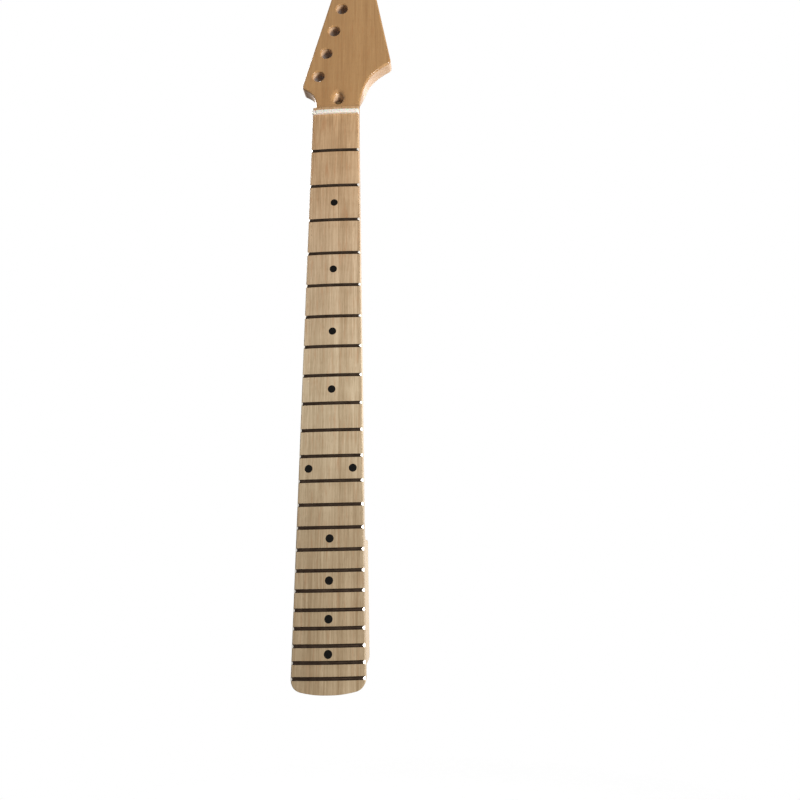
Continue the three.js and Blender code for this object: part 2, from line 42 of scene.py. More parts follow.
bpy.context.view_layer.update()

# Camera: it stands half a metre in front, a little above the heel and to the right, and looks slightly up, so
# that the headstock leaves the top of the picture and its lower walls show. Its place is in metres and its
# turn in degrees.
picture_width = 800
film_width = 36
lens_pixels = 620
optical_row = 375
optical_column = 430
camera_place = (0.09425, -0.51047, 0.07455)
camera_turn = (102.9266, 1.2692, 2.0509)
camera = bpy.data.objects.new("camera", bpy.data.cameras.new("camera"))
bpy.context.collection.objects.link(camera)
camera.data.sensor_width = film_width
camera.data.lens = film_width * lens_pixels / picture_width
camera.data.shift_x = (picture_width / 2 - optical_column) / picture_width
camera.data.shift_y = (optical_row - picture_width / 2) / picture_width
camera.location = camera_place
camera.rotation_euler = [math.radians(angle) for angle in camera_turn]
bpy.context.scene.camera = camera


# Neck blank: one piece of hard maple, sawn to its outline, routed from the back for the rod, drilled for six
# tuning machines, rounded by hand between the flat heel and the flat headstock, and lacquered to a gloss.
# Below, "up" counts from the nut's lower edge to the headstock, and "out" from the middle to the treble.
nut_z = 428
heel_end = 466
board_underside = -19
head_face = -13.5


class Wire:
    """A socket of a finish. Sums and products of wires and numbers add Math nodes."""

    def __init__(self, tree, socket=None):
        self.tree = tree
        self.socket = socket

    def node(self, kind, settings=(), sockets=(), output=0):
        """Adds a node. Its settings come first, then each socket gets its link or its value."""
        made = self.tree.nodes.new(kind)
        for name, value in dict(settings).items():
            if name == "stops":
                set_stops(made.color_ramp, value)
            else:
                setattr(made, name, value)
        for name, value in dict(sockets).items():
            if isinstance(value, Wire):
                self.tree.links.new(value.socket, made.inputs[name])
            else:
                made.inputs[name].default_value = value
        return Wire(self.tree, made.outputs[output])

    def math(self, operation, first, second=0.0):
        return self.node("ShaderNodeMath", {"operation": operation}, {0: first, 1: second})

    def mix(self, share, first, second, blend="MIX"):
        """Two colours, mixed or multiplied. Sockets 0, 6 and 7 are the node's share and its colours."""
        settings = {"data_type": "RGBA", "blend_type": blend}
        return self.node("ShaderNodeMix", settings, {0: share, 6: first, 7: second}, output=2)

    def __add__(self, other):
        return self.math("ADD", self, other)

    def __sub__(self, other):
        return self.math("SUBTRACT", self, other)

    def __rsub__(self, other):
        return self.math("SUBTRACT", other, self)

    def __mul__(self, other):
        return self.math("MULTIPLY", self, other)

    __radd__ = __add__
    __rmul__ = __mul__


def set_stops(ramp, stops):
    """Gives a colour ramp these places and colours and no others."""
    for spare in list(ramp.elements)[len(stops):]:
        ramp.elements.remove(spare)
    while len(ramp.elements) < len(stops):
        ramp.elements.new(1)
    for element, (place, colour) in zip(ramp.elements, stops):
        element.position = place
        element.color = (*colour, 1)


def start_finish(name):
    """A new finish, the piece's own coordinates as a wire in it, and its shader."""
    finish = bpy.data.materials.new(name)
    finish.use_nodes = True
    place = Wire(finish.node_tree).node("ShaderNodeTexCoord", output="Object")
    return finish, place, finish.node_tree.nodes["Principled BSDF"]


def stretched(place, scale, location=(0, 0, 0)):
    return place.node("ShaderNodeMapping", {}, {"Vector": place, "Location": location, "Scale": scale})


def noise(place, scale, detail, roughness=0.6):
    return place.node("ShaderNodeTexNoise", {}, {"Vector": place, "Scale": scale, "Detail": detail,
                                                 "Roughness": roughness})


def shades(amount, stops):
    return amount.node("ShaderNodeValToRGB", {"stops": stops}, {"Fac": amount})


def remap(amount, low, high, new_low, new_high):
    return amount.node("ShaderNodeMapRange", {}, {"Value": amount, "From Min": low, "From Max": high,
                                                  "To Min": new_low, "To Max": new_high})


def bump(height, strength, distance=0.1):
    return height.node("ShaderNodeBump", {}, {"Height": height, "Strength": strength,
                                              "Distance": distance * mm})


def set_surface(shader, wires, numbers):
    for name, wire in wires.items():
        wire.tree.links.new(wire.socket, shader.inputs[name])
    for name, value in numbers.items():
        shader.inputs[name].default_value = value


def maple(name, pale, dark, flecked, figure, streak_scale, gloss, haze, pith, tint_and_painted_shade,
          run=("Z", -0.05, 0.62)):
    """Maple: faint growth rings round the pith, with long fine streaks, ruddy flecks and short pores along
    the neck. A run of colours multiplies it along one axis, by default from heel to tip. The run holds the
    wood's or lacquer's tone, and in some finishes painted shade."""
    finish, place, shader = start_finish(name)
    lengthwise = stretched(place, (1, 1, 0.035), pith)
    rings = place.node("ShaderNodeTexWave",
                       {"wave_type": "RINGS", "rings_direction": "Z", "wave_profile": "SAW"},
                       {"Vector": lengthwise, "Scale": 55, "Distortion": 3.2, "Detail": 3,
                        "Detail Scale": 1.4, "Detail Roughness": 0.6})
    bands = noise(lengthwise, 110, 3)
    streaks = noise(lengthwise, streak_scale, 4, 0.7)
    shorter = stretched(place, (1, 1, 0.09))
    pores = noise(shorter, 2600, 2, 0.5)
    flecks = noise(shorter, 520, 3)
    flame = noise(stretched(place, (0.25, 0.25, 1)), 130, 2, 0.5)
    # The four shares and what is taken off them keep the average tone at one half.
    tone = bands * 0.36 + streaks * 0.68 + rings * 0.13 + flame * 0.12 - 0.145
    contrast = 2.7 * figure
    wood = shades((tone - 0.5) * contrast + 0.5, [(0.08, dark), (0.92, pale)])
    warmed = place.mix(remap(flecks, 0.54, 0.7, 0, 0.6), wood, (*flecked, 1))
    pore_brown = (dark[0] * 0.6, dark[1] * 0.55, dark[2] * 0.5, 1)
    speckled = place.mix(remap(pores, 0.3, 0.42, 0.3, 0), warmed, pore_brown)
    axis, run_start, run_end = run
    along = place.node("ShaderNodeSeparateXYZ", {}, {0: place}, output=axis)
    tinted_and_shaded = place.mix(1.0, speckled, shades(remap(along, run_start, run_end, 0, 1), tint_and_painted_shade), "MULTIPLY")
    set_surface(shader,
                {"Base Color": tinted_and_shaded, "Roughness": streaks * 0.16 + 0.36,
                 "Normal": bump(streaks + pores * 0.4, 0.05)},
                {"Coat Weight": gloss, "Coat Roughness": haze, "Coat IOR": 1.5, "IOR": 1.45,
                 "Specular IOR Level": 0.15})
    return finish


neck_pith = (0.004, -0.05, 0.0)
neck_maple = maple(
    "neck_maple", pale=(0.53, 0.388, 0.218), dark=(0.375, 0.25, 0.125), flecked=(0.425, 0.25, 0.12),
    figure=0.8, streak_scale=560, gloss=0.35, haze=0.15, pith=neck_pith,
    tint_and_painted_shade=[(0.0, (1, 1, 1)), (0.18, (1, 1, 1)), (0.37, (0.92, 0.865, 0.725)), (0.64, (0.91, 0.71, 0.52))])
# Bare drilled wood: its colour run along the bore keeps the front pale, darkens the middle and deep part to
# about a third as painted shade, and pales again at the back face.
bored_maple_painted_shade = maple(
    "bored_maple_painted_shade", pale=(0.66, 0.47, 0.3), dark=(0.42, 0.26, 0.14), flecked=(0.5, 0.29, 0.15),
    figure=1.0, streak_scale=560, gloss=0.0, haze=0.5, pith=neck_pith,
    tint_and_painted_shade=[(0.0, (1, 1, 1)), (0.2, (0.95, 0.92, 0.9)), (0.48, (0.34, 0.27, 0.23)),
          (0.85, (0.3, 0.24, 0.2)), (1.0, (0.8, 0.75, 0.7))],
    run=("Y", head_face * mm, 0))


def spread(start, stop, count):
    return [start + (stop - start) * step / (count - 1) for step in range(count)]


def bezier(points, count):
    """Points of a curve with one pull in its middle, or two."""
    first, *pulls, last = [(x, y, 0) for x, y in points]
    if len(pulls) == 1:
        pull = pulls[0]
        pulls = [tuple(end[i] + (pull[i] - end[i]) * 2 / 3 for i in range(3)) for end in (first, last)]
    return [(point.x, point.y) for point in interpolate_bezier(first, *pulls, last, count)]


def towards(start, goal, distance):
    length = math.dist(start, goal)
    return tuple(a + (b - a) * distance / length for a, b in zip(start, goal))


def smooth(share):
    share = min(max(share, 0), 1)
    return share * share * (3 - 2 * share)


half_at_nut = 20.6
half_at_board_end = 27.75
board_end = 477.5


def half_width(below_nut):
    return half_at_nut + (half_at_board_end - half_at_nut) * max(below_nut, 0) / board_end


heel_corner = 9
heel_bulge = 3
bulge_share = 0.6


def end_curve(end, side):
    """One half of a slab's rounded end, from its middle up to the straight edge, as (out, up) points."""
    out = half_width(end)
    bulge = heel_bulge * bulge_share
    inner = out - heel_corner
    turning = (side * inner, bulge - end)
    straight = (side * half_width(end - heel_bulge - heel_corner), heel_bulge + heel_corner - end)
    whole = bezier([(-side * inner, bulge - end), (0, -bulge - end), turning], count=33)
    corner = bezier([turning, (side * out, heel_bulge - end), straight], count=16)
    return whole[len(whole) // 2:] + corner[1:]


scoop_start = 12
bass_corner = (-34.2, 37)
treble_corner = (49.2, 61.5)
bass_scoop_shares = (0.3, 0.85, 0.62)
treble_scoop_shares = (0.34, 0.8, 0.58)
corner_round = 3
bass_tip = (4.6, 179.95)
treble_tip = (27, 179.95)
tip_fullness = 14


def scoop_curve(side, corner, shares):
    """The hollow edge from the shaft up to a headstock corner."""
    edge = side * half_at_nut
    inner, rise, low = shares
    height = corner[1] - scoop_start
    return bezier([(edge, scoop_start), (edge, scoop_start + height * low),
                   (edge + (corner[0] - edge) * inner, scoop_start + height * rise), corner], count=34)


def edge_of_blank(side, corner, tip, shares):
    """One edge of the headstock: its scoop, its rounded corner, its straight upper part and the tip's pull."""
    scoop = scoop_curve(side, corner, shares)
    while math.dist(scoop[-1], corner) < corner_round:
        scoop.pop()
    leave = towards(corner, tip, corner_round)
    rounded = bezier([scoop[-1], corner, leave], count=9)
    upper = [towards(leave, tip, distance) for distance in spread(0, math.dist(leave, tip), count=13)]
    return scoop, rounded, upper, towards(tip, corner, -tip_fullness)


def edge_table(side, parts, tip):
    """A whole edge of the neck, from the heel's end to the top of the headstock."""
    points = end_curve(heel_end, side)
    points += [(side * half_width(-up), up) for up in spread(points[-1][1], scoop_start, count=14)[1:-1]]
    return points + parts[0] + parts[1][1:] + parts[2][1:] + tip[1:]


bass_parts = edge_of_blank(-1, bass_corner, bass_tip, bass_scoop_shares)
treble_parts = edge_of_blank(1, treble_corner, treble_tip, treble_scoop_shares)
tip_curve = bezier([bass_tip, bass_parts[3], treble_parts[3], treble_tip], count=49)
apex = max(range(len(tip_curve)), key=lambda step: tip_curve[step][1])
bass_edge = edge_table(-1, bass_parts, tip_curve[:apex + 1])
treble_edge = edge_table(1, treble_parts, tip_curve[:apex - 1:-1])
head_top = tip_curve[apex][1]


def edge_at(edge, up):
    """How far out an edge lies at a height above the nut, and how much its lean stretches a level cut."""
    for (out_a, up_a), (out_b, up_b) in zip(edge, edge[1:]):
        if up_a <= up <= up_b and up_b > up_a:
            share = (up - up_a) / (up_b - up_a)
            return out_a + (out_b - out_a) * share, math.hypot(1, (out_b - out_a) / (up_b - up_a))
    return edge[0] if up < edge[0][1] else edge[-1]


back_power = 2.1
flattest_share = 0.9995
depth_at_nut = 14.4
depth_gain = 1.6
octave_below_nut = 324
heel_pad_length = 95.5
heel_arch_rise = 7
heel_arch = heel_end - heel_pad_length - heel_arch_rise
heel_flare_length = 34
head_flare_end = -20
head_flat_start = 5
head_flat_full = 37
head_flat_power = 0.85


def depth_for(flat_share):
    """Depth of the round section that leaves a flat of this share of the width on the back."""
    share = min(flat_share, flattest_share)
    return -board_underside / (1 - share ** back_power) ** (1 / back_power)


def back_depth(up):
    """Depth of the round section at a height: it swells into the flats of the heel and of the headstock."""
    below_nut = -up
    shaft = depth_at_nut + depth_gain / octave_below_nut * max(below_nut, 0)
    if below_nut > heel_arch + heel_arch_rise or up > head_flat_full:
        return depth_for(1)
    if below_nut > heel_arch:
        return depth_for(math.acos(1 - (below_nut - heel_arch) / heel_arch_rise) * 2 / math.pi)
    if below_nut > heel_arch - heel_flare_length:
        share = (below_nut - heel_arch + heel_flare_length) / heel_flare_length
        return shaft + (-board_underside - shaft) * share ** 2
    if up > head_flat_start:
        left = (up - head_flat_start) / (head_flat_full - head_flat_start)
        return depth_for(math.sin(math.pi / 2 * left ** head_flat_power))
    if up > head_flare_end:
        share = (up - head_flare_end) / (head_flat_start - head_flare_end)
        return shaft + (-board_underside - shaft) * smooth(share)
    return shaft


face_ramp_radius = 11.9
face_ramp_top = 7.2
face_ramp_foot = face_ramp_top + face_ramp_radius


def face_height(up):
    """Where the wood's front lies: under the board, down the ramp behind the nut, and along the headstock."""
    if up >= face_ramp_foot:
        return head_face
    depth = math.sqrt(max(0, face_ramp_radius ** 2 - (face_ramp_foot - max(up, face_ramp_top)) ** 2))
    return max(head_face - face_ramp_radius + depth, board_underside)


smallest_half = 0.001
widest_round_share = 0.45
halvings = 40
crest_turn = 89.5
crest_widening = 32
crest_reach = 26
crest_share = 0.2


def half_section(up, middle, edge, front_round, back_round):
    """One side of a level cut, from the middle of the front round to the middle of the back. The flank is a
    rounded arch. Where it would pass the flat back it is cut off there and its edge is rounded."""
    out, stretch = edge_at(edge, up)
    half = max(abs(out - middle), smallest_half) / stretch
    side = 1 if out > middle else -1
    depth = back_depth(up)
    front = face_height(up)
    curve = 2 / back_power

    def flank(turn):
        return half * math.cos(turn) ** curve, board_underside + depth * math.sin(turn) ** curve

    def outward(turn):
        x, y = flank(turn)
        slope = ((x / half) ** (back_power - 1) / half,
                 ((y - board_underside) / depth) ** (back_power - 1) / depth)
        length = math.hypot(*slope)
        return slope[0] / length, slope[1] / length

    def turn_at(height):
        return math.asin(min(1, ((height - board_underside) / depth) ** (back_power / 2)))

    back_round = min(back_round, half * widest_round_share)
    front_round = min(front_round, half * widest_round_share)
    begin = turn_at(front + front_round)
    if depth > -board_underside:
        low, high = begin, turn_at(0)
        for _ in range(halvings):
            turn = (low + high) / 2
            if flank(turn)[1] - back_round * outward(turn)[1] + back_round > 0:
                high = turn
            else:
                low = turn
        finish = low
        (x, y), (nx, ny) = flank(finish), outward(finish)
        centre = x - back_round * nx
        start = math.atan2(ny, nx)
        crest = [(centre + back_round * math.cos(angle), -back_round + back_round * math.sin(angle))
                 for angle in spread(start, math.pi / 2, count=6)]
        flat = [(x, 0) for x in spread(centre, 0, count=11)]
    else:
        reach = min(abs(up - head_flat_start), abs(-up - heel_arch))
        finish = math.radians(crest_turn - crest_widening * smooth(reach / crest_reach))
        after = finish + (math.pi / 2 - finish) * crest_share
        crest = [flank(turn) for turn in spread(finish, after, count=6)]
        flat = [flank(turn) for turn in spread(after, math.pi / 2, count=11)]
    corner = flank(begin)[0] - front_round
    face = [(x, front) for x in spread(0, corner, count=8)]
    rim = [(corner + front_round * math.sin(angle), front + front_round - front_round * math.cos(angle))
           for angle in spread(0, math.pi / 2, count=6)]
    walls = [flank(turn) for turn in spread(begin, finish, count=15)]
    line = face + rim[1:] + walls[1:] + crest[1:] + flat[1:]
    return [(middle + side * stretch * x, y) for x, y in line]


head_edge_round = 1.5
heel_edge_round = 1.2


def near_end(up):
    """How far the front and back have rolled over at a height close to either end."""
    for distance, radius in ((head_top - up, head_edge_round), (up + heel_end, heel_edge_round)):
        if distance < radius:
            return radius - math.sqrt(radius ** 2 - (radius - max(distance, 0)) ** 2)
    return 0


closest_rows = 0.02
ramp_at_glue_line = math.radians(57.5)


def ramp_rows(start, stop, count):
    return {face_ramp_foot - face_ramp_radius * math.sin(angle) for angle in spread(start, stop, count)}


def thinned(heights):
    """The heights in order, without those that lie too close to the one before."""
    rows = []
    for up in sorted(heights):
        if not rows or up - rows[-1] > closest_rows:
            rows.append(up)
    return rows


def neck_rows():
    """The heights of the level cuts, closest where the form turns fast."""
    heights = {up for _, up in bass_edge + treble_edge} | ramp_rows(0, ramp_at_glue_line, count=14)
    heights |= {-heel_arch - heel_arch_rise * (1 - math.cos(angle))
                for angle in spread(0, math.pi / 2, count=26)}
    heights |= set(spread(heel_flare_length - heel_arch, -heel_arch, count=16))
    heights |= set(spread(head_flare_end, head_flat_start, count=18))
    heights |= set(spread(head_flat_start, head_flat_full, count=30))
    for radius, end, way in ((head_edge_round, head_top, -1), (heel_edge_round, -heel_end, 1)):
        heights |= {end + way * radius * (1 - math.cos(angle)) for angle in spread(0, math.pi / 2, count=6)}
    return thinned(heights)


glued_edge_round = 0.15
head_round_length = 10
head_centring_length = 30


def neck_ring(up):
    """One level cut all round. On the headstock it is centred between the two edges."""
    blend = smooth((up - head_flat_full) / head_centring_length)
    middle = blend * (edge_at(bass_edge, up)[0] + edge_at(treble_edge, up)[0]) / 2
    on_head = smooth((up - scoop_start) / head_round_length)
    back_round = head_edge_round if up > 0 else heel_edge_round
    front_round = glued_edge_round + (head_edge_round - glued_edge_round) * on_head
    treble, bass = [half_section(up, middle, edge, front_round, back_round)
                    for edge in (treble_edge, bass_edge)]
    roll = near_end(up)
    front = face_height(up) + roll
    return [(x, min(max(y, front), -roll), nut_z + up) for x, y in treble + bass[-2:0:-1]]


def choose(piece):
    """Makes a piece the only one that the operators act on."""
    bpy.ops.object.select_all(action="DESELECT")
    piece.select_set(True)
    bpy.context.view_layer.objects.active = piece


weld_reach = 0.004
sliver = 0.002


def wrap_sheet(name, rings):
    """A closed piece: a fine sheet laid over level rings of points, its seam and its ends welded."""
    bpy.ops.object.select_all(action="DESELECT")
    bpy.ops.mesh.primitive_grid_add(x_subdivisions=len(rings[0]), y_subdivisions=len(rings) - 1)
    piece = bpy.context.object
    piece.name = piece.data.name = name
    columns = len(rings[0]) + 1
    for row, ring in enumerate(rings):
        for column in range(columns):
            x, y, z = ring[column % len(ring)]
            piece.data.vertices[row * columns + column].co = (x * mm, y * mm, z * mm)
    bpy.ops.object.mode_set(mode="EDIT")
    bpy.ops.mesh.select_all(action="SELECT")
    bpy.ops.mesh.remove_doubles(threshold=weld_reach * mm)
    bpy.ops.mesh.dissolve_degenerate(threshold=sliver * mm)
    bpy.ops.mesh.select_all(action="SELECT")
    bpy.ops.mesh.normals_make_consistent(inside=False)
    bpy.ops.object.mode_set(mode="OBJECT")
    return piece


lathe_weld_reach = 0.001


def lathe(name, profile, at):
    """A turned form round a line square to the headstock. The profile gives (radius, y), at gives x and z."""
    mesh = bpy.data.meshes.new(name)
    mesh.from_pydata([((at[0] + radius) * mm, y * mm, at[1] * mm) for radius, y in profile],
                     [(step, step + 1) for step in range(len(profile) - 1)], [])
    piece = bpy.data.objects.new(name, mesh)
    bpy.context.collection.objects.link(piece)
    choose(piece)
    bpy.ops.object.mode_set(mode="EDIT")
    bpy.ops.mesh.select_all(action="SELECT")
    bpy.ops.mesh.spin(steps=48, angle=math.tau, center=(at[0] * mm, 0, at[1] * mm), axis=(0, 1, 0))
    bpy.ops.mesh.select_all(action="SELECT")
    bpy.ops.mesh.remove_doubles(threshold=lathe_weld_reach * mm)
    bpy.ops.mesh.normals_make_consistent(inside=False)
    bpy.ops.object.mode_set(mode="OBJECT")
    return piece


def settle(name):
    """Names the primitive just added and puts its place into its mesh."""
    bpy.ops.object.transform_apply(location=True, rotation=True, scale=True)
    piece = bpy.context.object
    piece.name = piece.data.name = name
    return piece


def bar(name, radius, length, at, turned=(0, 0, 0), sides=40):
    bpy.ops.object.select_all(action="DESELECT")
    bpy.ops.mesh.primitive_cylinder_add(vertices=sides, radius=radius * mm, depth=length * mm,
                                        location=[value * mm for value in at], rotation=turned)
    return settle(name)


def block(name, low, high):
    bpy.ops.object.select_all(action="DESELECT")
    middle = [(a + b) / 2 * mm for a, b in zip(low, high)]
    size = [(b - a) * mm for a, b in zip(low, high)]
    bpy.ops.mesh.primitive_cube_add(size=1, location=middle, scale=size)
    return settle(name)


def carve(piece, tools, operation="DIFFERENCE"):
    """Cuts each tool out of the piece, or joins it, or keeps only what they share, and throws it away."""
    for tool in tools:
        modifier = piece.modifiers.new("cut", "BOOLEAN")
        modifier.operation = operation
        modifier.solver = "EXACT"
        modifier.object = tool
        choose(piece)
        bpy.ops.object.modifier_apply(modifier="cut")
        bpy.data.meshes.remove(tool.data)


def polish(piece, angle=32):
    """Smooth shading that stays crisp at edges and flat on the flat faces."""
    choose(piece)
    bpy.ops.object.shade_smooth_by_angle(angle=math.radians(angle))
    modifier = piece.modifiers.new("even", "WEIGHTED_NORMAL")
    modifier.keep_sharp = True
    modifier.weight = 80
    bpy.ops.object.modifier_apply(modifier="even")


def dress(piece, finish, body, node):
    """The finish, the body that the piece rides on and the node that it stands for."""
    piece.data.materials.clear()
    piece.data.materials.append(finish)
    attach(piece, body)
    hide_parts(node)


tool_overrun = 2
tuner_count = 6
tuner_pitch = 25.5
tuner_lean = math.radians(16)
tuner_hole_radius = 5.3
front_rim = 1.1
back_rim = 0.5
first_tuner = (-18.7, 49.1)
tuner_places = [(first_tuner[0] + number * tuner_pitch * math.sin(tuner_lean),
                 first_tuner[1] + number * tuner_pitch * math.cos(tuner_lean))
                for number in range(tuner_count)]


def tuner_drill(place):
    """A drill for one tuning machine, flared at both faces so that it leaves rounded rims."""
    x, up = place

    def rim(width):
        return [(tuner_hole_radius + width - width * math.sin(angle), width * (1 - math.cos(angle)))
                for angle in spread(0, math.pi / 2, count=7)]

    front = [(radius, head_face + y) for radius, y in rim(front_rim)]
    back = [(radius, -y) for radius, y in reversed(rim(back_rim))]
    start, end = head_face - tool_overrun, tool_overrun
    profile = [(0, start), (front[0][0], start), *front, *back, (back[-1][0], end), (0, end)]
    return lathe("tuner_drill", profile, (x, nut_z + up))


key_rim = 1.9
key_mouth_middle = 26.6
key_bore_radius = 4.5
key_bore_tilt = math.radians(40)
key_bore_pinch_share = 0.3
key_bore_height_share = 0.96
key_bore_sides = 40
key_bore_depths = (3, 5, 6.5, 7.5, 8.3)
key_bore_floor = -4.6
key_bore_lowest = 17.7


def key_tool():
    """The leaning pocket for the key: round at its foot, narrower at its top, with a softened mouth."""
    rings = [[(0, head_face - tool_overrun, nut_z + key_mouth_middle)] * key_bore_sides]
    for depth in [-tool_overrun, *spread(0, key_rim, count=6), *key_bore_depths]:
        inside = max(depth, 0)
        flare = key_rim - math.sqrt(key_rim ** 2 - max(key_rim - inside, 0) ** 2)
        tall = key_bore_radius / math.sin(key_bore_tilt) * key_bore_height_share + flare
        middle = key_mouth_middle - inside / math.tan(key_bore_tilt)
        ring = []
        for step in range(key_bore_sides):
            turn = math.tau * step / key_bore_sides
            narrow = 1 - key_bore_pinch_share * max(0, math.cos(turn))
            x = (key_bore_radius * narrow + flare) * math.sin(turn)
            up = max(middle + tall * math.cos(turn), key_bore_lowest)
            ring.append((x, head_face + depth, nut_z + up))
        rings.append(ring)
    rings.append([(0, key_bore_floor, nut_z + key_bore_lowest)] * key_bore_sides)
    return wrap_sheet("key_tool", rings)


rod_y = -9.3
rod_bore_radius = 3.85
rod_bore_foot = 11.5
rod_bore_length = 13.5
stripe_width = 6
stripe_start = 50
stripe_end = 425.5
channel_floor = -12
router_overrun = 3
glue_gap = 0.1


def stadium(name, width, start, end, low, high):
    """A bar with round ends, as a router leaves it, lying along the middle of the back."""
    radius = width / 2
    bar_z = [nut_z - start - radius, nut_z - end + radius]
    tool = block(name, (-radius, low, bar_z[1]), (radius, high, bar_z[0]))
    ends = [bar(name, radius, high - low, (0, (low + high) / 2, z), (math.pi / 2, 0, 0), sides=32)
            for z in bar_z]
    carve(tool, ends, "UNION")
    return tool


neck = wrap_sheet("neck_blank", [neck_ring(up) for up in neck_rows()])
uncut_neck = neck.copy()
uncut_neck.data = neck.data.copy()
rod_bore = bar("rod_bore", rod_bore_radius, rod_bore_length,
               (0, rod_y, nut_z + rod_bore_foot + rod_bore_length / 2))
channel = stadium("channel", stripe_width + 2 * glue_gap, stripe_start - glue_gap, stripe_end + glue_gap,
                  channel_floor, router_overrun)
carve(neck, [tuner_drill(place) for place in tuner_places] + [key_tool(), rod_bore, channel])
polish(neck)
dress(neck, neck_maple, "neck_body", "neck")

# The walls of the tuner holes and of the key pocket are bare drilled wood. Their faces take the second finish,
# which is darkened deep inside the bores as painted shade.
neck.data.materials.append(bored_maple_painted_shade)
wall_reach = 0.05
key_bore_slack = 0.4
key_bore_span = (11, 36)
for face in neck.data.polygons:
    x, y, up = face.center.x / mm, face.center.y / mm, face.center.z / mm - nut_z
    in_wood = head_face + front_rim - wall_reach < y < -back_rim + wall_reach
    in_tuner_hole = any(math.dist((x, up), place) < tuner_hole_radius + wall_reach for place in tuner_places)
    in_key_bore = (abs(x) < key_bore_radius + key_bore_slack and key_bore_span[0] < up < key_bore_span[1]
                   and y > head_face + key_rim - wall_reach)
    if in_wood and (in_tuner_hole or in_key_bore):
        face.material_index = 1


# Back stripe: a strip of near-black hardwood glued over the rod in its channel, planed and lacquered flush
# with the round back, its two ends rounded to fit the ends that the router left.
stripe_floor = -6.4
stripe_finish, place, shader = start_finish("dark_stripe_wood")
grain = noise(stretched(place, (1, 1, 0.05)), 1400, 4, 0.7)
stripe_colour = shades(grain, [(0.35, (0.006, 0.005, 0.005)), (0.75, (0.03, 0.02, 0.015))])
set_surface(shader, {"Base Color": stripe_colour, "Roughness": grain * 0.2 + 0.3,
                     "Normal": bump(grain, 0.06)},
            {"Specular IOR Level": 0.15, "Coat Weight": 0.12, "Coat Roughness": 0.2})
stripe = stadium("stripe", stripe_width, stripe_start, stripe_end, stripe_floor, router_overrun)
bpy.context.collection.objects.link(uncut_neck)
carve(stripe, [uncut_neck], "INTERSECT")
polish(stripe)
dress(stripe, stripe_finish, "neck_body", "back_stripe")


# Fretboard: a slab of maple glued to the front of the blank, its face sanded to a 305 mm radius and its long
# edges rolled. It runs past the heel's end, is slotted for the nut and frets, and is drilled for the dots.
scale_length = 648
fret_count = 22
frets_per_octave = 12
board_radius = 305
crown = -25.4
edge_roll = 0.9
smallest_board_half = 0.01
# Board's colour run: darker and greyer towards the heel's end, partly the maple's own tone and partly painted
# shade for light falling off there; paler in the middle and warmer near the nut.
board_maple = maple(
    "board_maple", pale=(0.64, 0.50, 0.32), dark=(0.36, 0.25, 0.135), flecked=(0.46, 0.27, 0.14),
    figure=1.0, streak_scale=760, gloss=0.15, haze=0.3, pith=(0.01, -0.03, 0.2),
    tint_and_painted_shade=[(0.0, (0.72, 0.7, 0.69)), (0.14, (0.72, 0.7, 0.69)), (0.34, (0.96, 0.97, 1.0)),
          (0.5, (0.98, 0.93, 0.94)), (0.71, (0.93, 0.76, 0.64))])


def fret_below_nut(number):
    return scale_length * (1 - 2 ** (-number / frets_per_octave))


def board_height(out):
    return crown + board_radius - math.sqrt(board_radius ** 2 - out ** 2)


board_end_edge = end_curve(board_end, 1)


def board_half(up):
    """Half the board's width at a height: its rounded end, then the straight taper."""
    for (out_a, up_a), (out_b, up_b) in zip(board_end_edge, board_end_edge[1:]):
        if up_a <= up <= up_b and up_b > up_a:
            return out_a + (out_b - out_a) * (up - up_a) / (up_b - up_a)
    return half_width(-up)


def board_ring(up):
    """One level cut of the board: arched face, rolled edges, straight walls and flat underside."""
    half = max(abs(board_half(up)), smallest_board_half)
    roll = min(edge_roll, half * widest_round_share)
    end = up + board_end
    tip = edge_roll - math.sqrt(edge_roll ** 2 - (edge_roll - end) ** 2) if end < edge_roll else 0
    ramp = crown
    if up > face_ramp_top:
        ramp += math.sqrt(max(0, face_ramp_radius ** 2 - (face_ramp_foot - up) ** 2))
    top = [(x, max(board_height(x) + tip, ramp)) for x in spread(0, half - roll, count=17)]
    edge_top = board_height(half - roll) + tip
    rolled = [(half - roll + roll * math.sin(angle), max(edge_top + roll * (1 - math.cos(angle)), ramp))
              for angle in spread(0, math.pi / 2, count=6)]
    wall = [(half, y) for y in spread(max(edge_top + roll, ramp), board_underside, count=4)]
    under = [(x, board_underside) for x in spread(half, 0, count=5)]
    line = [(x, min(y, board_underside)) for x, y in top + rolled[1:] + wall[1:] + under[1:]]
    return [(x, y, nut_z + up) for x, y in line + [(-x, y) for x, y in line[-2:0:-1]]]


def board_rows():
    heights = {up for _, up in board_end_edge} | ramp_rows(ramp_at_glue_line, math.pi / 2, count=12)
    heights |= {edge_roll * (1 - math.cos(angle)) - board_end for angle in spread(0, math.pi / 2, count=6)}
    heights |= set(spread(board_end_edge[-1][1], 0, count=24)) | {face_ramp_top}
    return thinned(heights)


slot_reach = 30
saw_start = -40


def saw_cut(name, floor, low, high):
    """A cut right across the board, as deep as the floor, between two heights."""
    return block(name, (-slot_reach, saw_start, low), (slot_reach, floor, high))


dot_frets = [3, 5, 7, 9, 12, 15, 17, 19, 21]
dot_radius = 3.1
dot_depth = 1.6
octave_dot_spacing = 34.5
side_dot_radius = 1.1
side_dot_depth = 3
side_dot_below_edge = 2.6
side_dot_pair_spacing = 7


def dot_places(pair, spacing):
    """Each dot's label, how far it lies below the nut, and how far it stands off the middle of its pair."""
    for number in dot_frets:
        below = (fret_below_nut(number - 1) + fret_below_nut(number)) / 2
        if number == frets_per_octave:
            for label, side in zip(pair, (-1, 1)):
                yield f"{number:02d}_{label}", below, side * spacing / 2
        else:
            yield f"{number:02d}", below, 0


